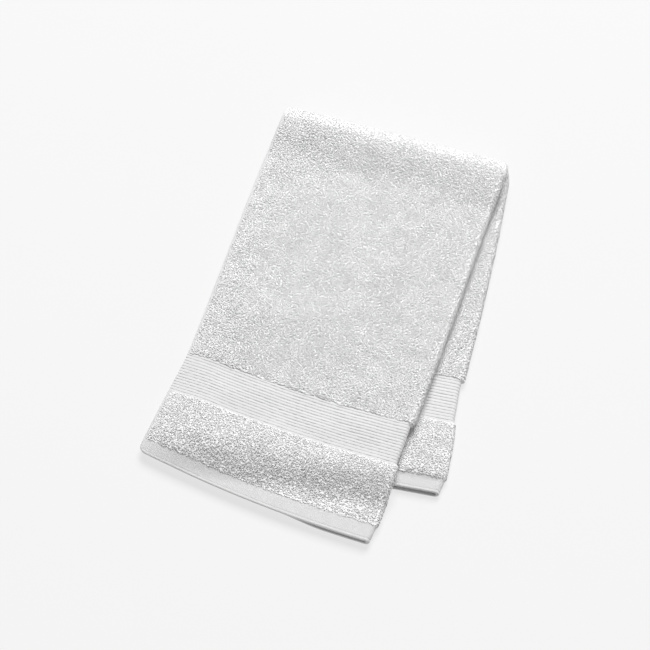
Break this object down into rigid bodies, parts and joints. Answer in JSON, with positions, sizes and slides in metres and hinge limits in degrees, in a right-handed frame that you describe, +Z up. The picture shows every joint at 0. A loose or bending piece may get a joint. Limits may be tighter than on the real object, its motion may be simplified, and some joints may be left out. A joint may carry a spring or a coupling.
{
  "type": "folded hand towel",
  "caption": "Thick white terry hand towel with a ribbed border, a pile stripe and plain hems, folded lengthwise and crosswise with its front half fanned to one side.",
  "frame": {"origin": "on the flat underside of the back half, near the middle of the folded towel", "axes": "+Z up, +Y from the hems towards the cross fold, +X towards the folded long edge"},
  "size_m": [0.251, 0.3624, 0.0296],
  "materials": {
    "terry": "white looped cotton pile with a flat ribbed border"
  },
  "bodies": {
    "root": {"towel": "terry"}
  },
  "joints": []
}
